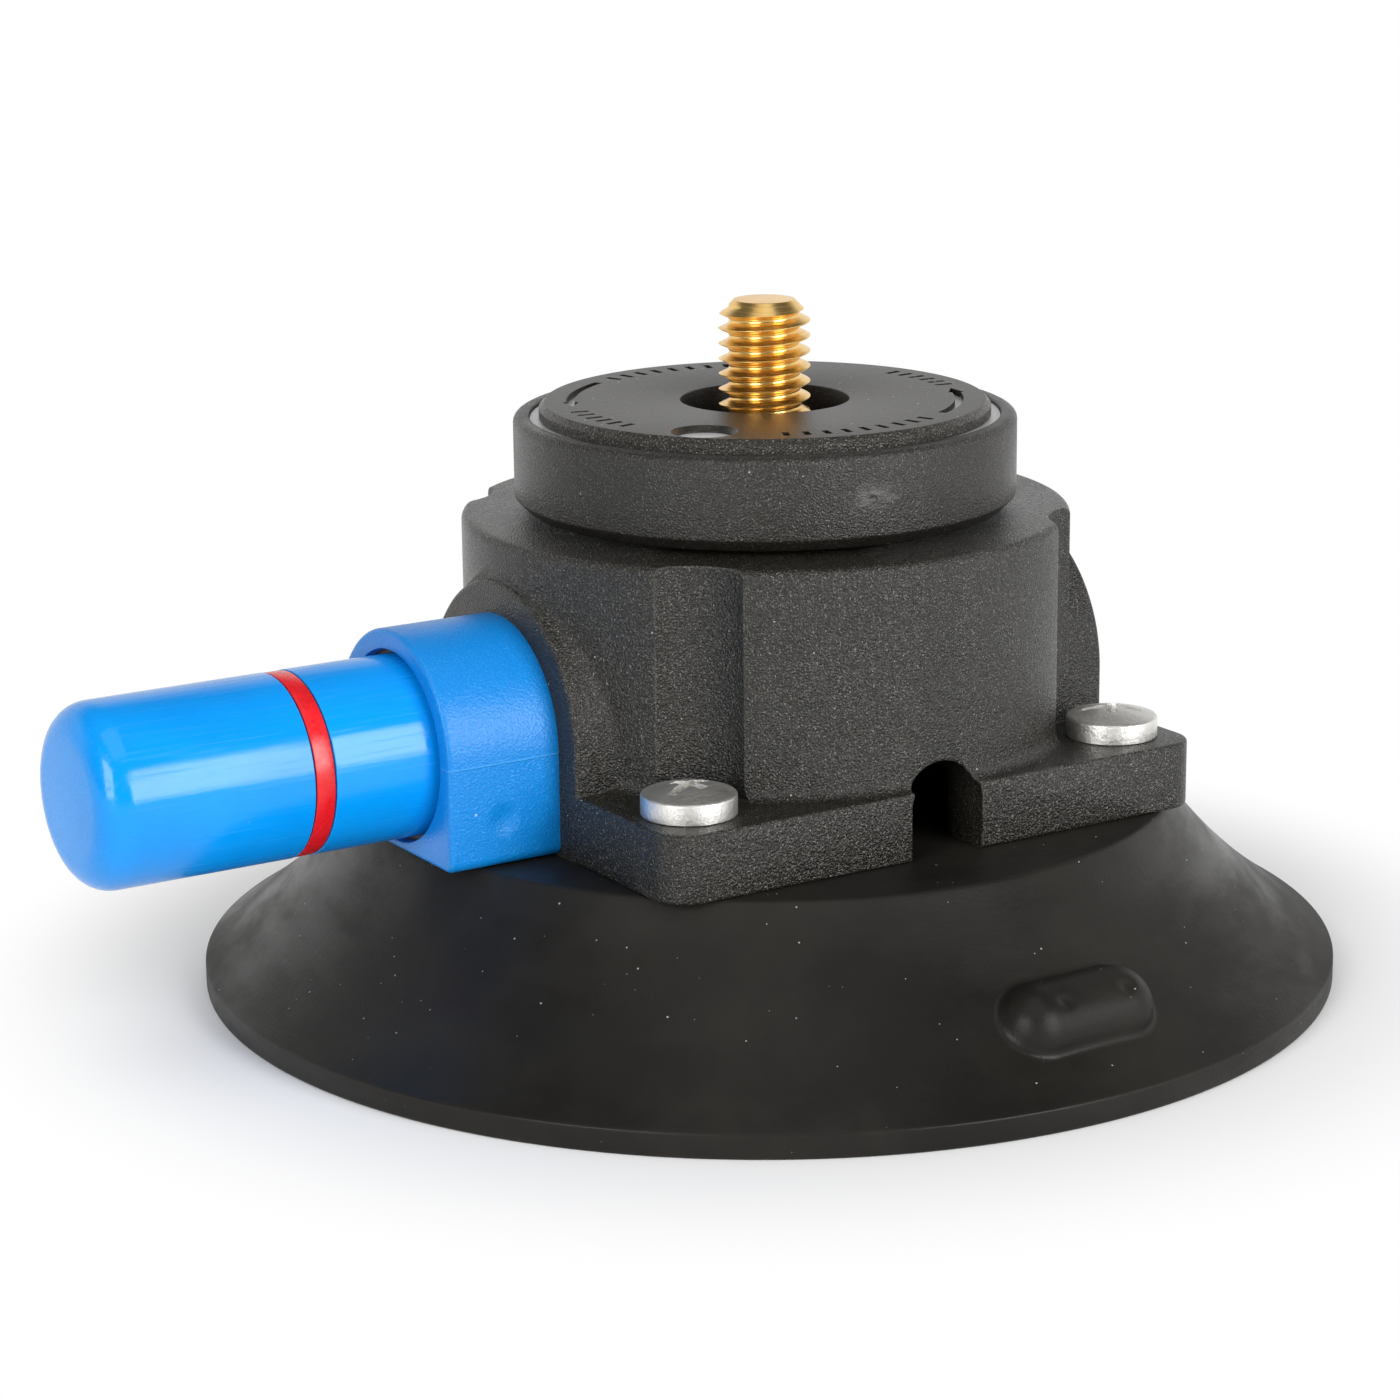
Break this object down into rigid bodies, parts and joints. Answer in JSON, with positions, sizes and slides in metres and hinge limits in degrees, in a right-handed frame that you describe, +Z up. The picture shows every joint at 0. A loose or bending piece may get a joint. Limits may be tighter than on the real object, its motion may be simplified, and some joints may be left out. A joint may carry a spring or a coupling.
{
  "type": "vacuum suction mounting cup",
  "caption": "Hand-pumped rubber suction cup with a plunger pump, a round turning knob and a threaded brass stud for holding equipment on a smooth surface.",
  "frame": {"origin": "centre of the rubber rim, on the plane that grips the glass", "axes": "+Z up along the stud's axis; the pump lies along X with its plunger pointing to -X; the arched vent faces -Y"},
  "size_m": [0.1397, 0.1204, 0.0711],
  "materials": {
    "pad_rubber": "smooth matt black rubber",
    "insert_steel": "zinc-plated steel",
    "screen_steel": "fine perforated stainless steel",
    "filter_foam": "open-cell grey foam",
    "valve_silicone": "soft silicone rubber",
    "seal_rubber": "black nitrile rubber",
    "housing_plastic": "black moulded plastic with a fine grain",
    "screw_zinc": "bright zinc-plated steel",
    "barrel_plastic": "blue moulded plastic, satin",
    "plunger_plastic": "blue moulded plastic, glossy",
    "line_plastic": "red plastic band",
    "spring_steel": "drawn spring steel",
    "washer_nylon": "natural nylon",
    "knob_plastic": "smooth matt black plastic",
    "clamp_metal": "bare light grey metal",
    "disc_plastic": "dark plastic with a sparkle and a textured bevel",
    "stud_brass": "turned brass",
    "clip_steel": "dark spring steel"
  },
  "bodies": {
    "base": {"vacuum_pad": "pad_rubber", "insert_plate": "insert_steel", "weld_nuts": "insert_steel", "filter_screen": "screen_steel", "foam_filter": "filter_foam", "intake_valve": "valve_silicone", "port_seal": "seal_rubber", "pump_housing": "housing_plastic", "flange_screws": "screw_zinc", "pump_barrel": "barrel_plastic", "wiper_ring": "seal_rubber", "exhaust_valve": "valve_silicone", "end_cap": "housing_plastic", "cap_screws": "screw_zinc", "pump_spring": "spring_steel", "thrust_washer": "washer_nylon"},
    "plunger_rod": {"plunger": "plunger_plastic", "vacuum_line": "line_plastic", "piston_seal": "seal_rubber", "piston_head": "housing_plastic"},
    "turning_knob": {"lock_knob": "knob_plastic", "clamp_plate": "clamp_metal", "clamp_screws": "clip_steel", "knob_disc": "disc_plastic", "mounting_stud": "stud_brass", "retaining_washer": "insert_steel", "retaining_clip": "clip_steel"}
  },
  "joints": [
    {"name": "plunger_slide", "type": "slide", "parent": "base", "child": "plunger_rod", "axis": [1, 0, 0], "range_m": [0, 0.03], "stiffness_N_per_m": 514, "springref_m": -0.0195, "deforming": ["pump_spring"]},
    {"name": "knob_turn", "type": "hinge", "parent": "base", "child": "turning_knob", "pos_m": [0, 0, 0.0608], "axis": [0, 0, 1], "continuous": true}
  ]
}
